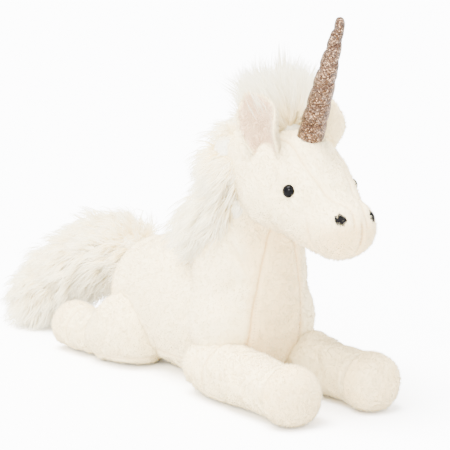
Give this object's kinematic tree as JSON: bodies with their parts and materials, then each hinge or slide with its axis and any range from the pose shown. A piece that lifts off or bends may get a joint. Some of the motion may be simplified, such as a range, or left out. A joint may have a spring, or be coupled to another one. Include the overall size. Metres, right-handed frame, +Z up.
{
  "type": "plush unicorn",
  "caption": "Soft plush unicorn lying with its front legs forward, with a long-pile mane and tail, a glitter horn, domed eyes and limbs that flex at their seams.",
  "frame": {"origin": "middle of the flat patch on which the belly rests", "axes": "+Z up, the animal faces -Y, its right side is -X"},
  "size_m": [0.15, 0.43, 0.286],
  "materials": {
    "short_pile": "short warm-white plush with a fine nap",
    "long_pile": "long silky white pile",
    "ear_lining": "short pinkish-beige plush",
    "glitter_cloth": "rose-gold glitter on a cloth backing",
    "horn_thread": "twisted thread",
    "pouch_cloth": "plain woven cloth",
    "eye_dome": "glossy black",
    "eye_washer": "moulded natural plastic",
    "embroidery": "black satin stitch",
    "fibre_fill": "loose white polyester fibre"
  },
  "bodies": {
    "torso": {"torso_right_panel": "short_pile", "torso_left_panel": "short_pile", "chest_panel": "short_pile", "belly_panel": "short_pile", "torso_stuffing": "fibre_fill", "belly_bead_pouch": "pouch_cloth", "mane": "long_pile", "right_front_upper_leg": "short_pile", "right_front_upper_leg_stuffing": "fibre_fill", "left_front_upper_leg": "short_pile", "left_front_upper_leg_stuffing": "fibre_fill"},
    "neck": {"neck_fill": "fibre_fill"},
    "head": {"head_right_panel": "short_pile", "head_left_panel": "short_pile", "head_crown_strip": "short_pile", "head_stuffing": "fibre_fill", "forelock": "long_pile", "head_mane": "long_pile", "horn_cover": "glitter_cloth", "horn_stuffing": "fibre_fill", "horn_thread": "horn_thread", "right_eye": "eye_dome", "right_eye_washer": "eye_washer", "right_nostril": "embroidery", "left_eye": "eye_dome", "left_eye_washer": "eye_washer", "left_nostril": "embroidery"},
    "right_ear": {"right_ear_back": "short_pile", "right_ear_lining": "ear_lining"},
    "right_front_elbow": {"right_front_elbow_fill": "fibre_fill"},
    "right_front_leg": {"right_front_leg_sleeve": "short_pile", "right_front_leg_stuffing": "fibre_fill", "right_front_hoof": "short_pile", "right_front_hoof_stuffing": "fibre_fill", "right_front_hoof_sole": "short_pile"},
    "right_hind_leg": {"right_hind_leg_skin": "short_pile", "right_hind_leg_stuffing": "fibre_fill", "right_hind_hoof_sole": "short_pile"},
    "left_ear": {"left_ear_back": "short_pile", "left_ear_lining": "ear_lining"},
    "left_front_elbow": {"left_front_elbow_fill": "fibre_fill"},
    "left_front_leg": {"left_front_leg_sleeve": "short_pile", "left_front_leg_stuffing": "fibre_fill", "left_front_hoof": "short_pile", "left_front_hoof_stuffing": "fibre_fill", "left_front_hoof_sole": "short_pile"},
    "left_hind_leg": {"left_hind_leg_skin": "short_pile", "left_hind_leg_stuffing": "fibre_fill", "left_hind_hoof_sole": "short_pile"},
    "tail_dock": {"tail_dock": "short_pile"},
    "tail": {"tail_core": "pouch_cloth", "tail_fur": "long_pile"}
  },
  "joints": [
    {"name": "head_turn", "type": "hinge", "parent": "torso", "child": "neck", "pos_m": [0, -0.07, 0.158], "axis": [0, -0.342, 0.9397], "range_deg": [-20, 20], "stiffness_Nm_per_rad": 1.2},
    {"name": "head_nod", "type": "hinge", "parent": "neck", "child": "head", "pos_m": [0, -0.07, 0.158], "axis": [1, 0, 0], "range_deg": [-10, 10], "stiffness_Nm_per_rad": 1.8},
    {"name": "right_ear_fold", "type": "hinge", "parent": "head", "child": "right_ear", "pos_m": [-0.02508, -0.10873, 0.19574], "axis": [0.5391, -0.6425, 0.5446], "range_deg": [-18, 18], "stiffness_Nm_per_rad": 0.004},
    {"name": "right_front_lift", "type": "hinge", "parent": "torso", "child": "right_front_elbow", "pos_m": [-0.036, -0.096, 0.02], "axis": [-1, 0, 0], "range_deg": [0, 24], "stiffness_Nm_per_rad": 0.3},
    {"name": "right_front_spread", "type": "hinge", "parent": "right_front_elbow", "child": "right_front_leg", "pos_m": [-0.036, -0.096, 0.02], "axis": [0, 0, -1], "range_deg": [-5, 20], "stiffness_Nm_per_rad": 0.3},
    {"name": "right_hind_spread", "type": "hinge", "parent": "torso", "child": "right_hind_leg", "pos_m": [-0.037, 0.05472, 0.0279], "axis": [0, 0, 1], "range_deg": [0, 15], "stiffness_Nm_per_rad": 0.3},
    {"name": "left_ear_fold", "type": "hinge", "parent": "head", "child": "left_ear", "pos_m": [0.02508, -0.10873, 0.19574], "axis": [0.5391, 0.6425, -0.5446], "range_deg": [-18, 18], "stiffness_Nm_per_rad": 0.004},
    {"name": "left_front_lift", "type": "hinge", "parent": "torso", "child": "left_front_elbow", "pos_m": [0.036, -0.096, 0.02], "axis": [-1, 0, 0], "range_deg": [0, 24], "stiffness_Nm_per_rad": 0.3},
    {"name": "left_front_spread", "type": "hinge", "parent": "left_front_elbow", "child": "left_front_leg", "pos_m": [0.036, -0.096, 0.02], "axis": [0, 0, 1], "range_deg": [-5, 20], "stiffness_Nm_per_rad": 0.3},
    {"name": "left_hind_spread", "type": "hinge", "parent": "torso", "child": "left_hind_leg", "pos_m": [0.037, 0.05472, 0.0279], "axis": [0, 0, -1], "range_deg": [0, 15], "stiffness_Nm_per_rad": 0.3},
    {"name": "tail_swing", "type": "hinge", "parent": "torso", "child": "tail_dock", "pos_m": [0, 0.109, 0.08288], "axis": [0, 0, -1], "range_deg": [-5, 28], "stiffness_Nm_per_rad": 0.2},
    {"name": "tail_lift", "type": "hinge", "parent": "tail_dock", "child": "tail", "pos_m": [0, 0.109, 0.08288], "axis": [1, 0, 0], "range_deg": [0, 24], "stiffness_Nm_per_rad": 0.3}
  ]
}
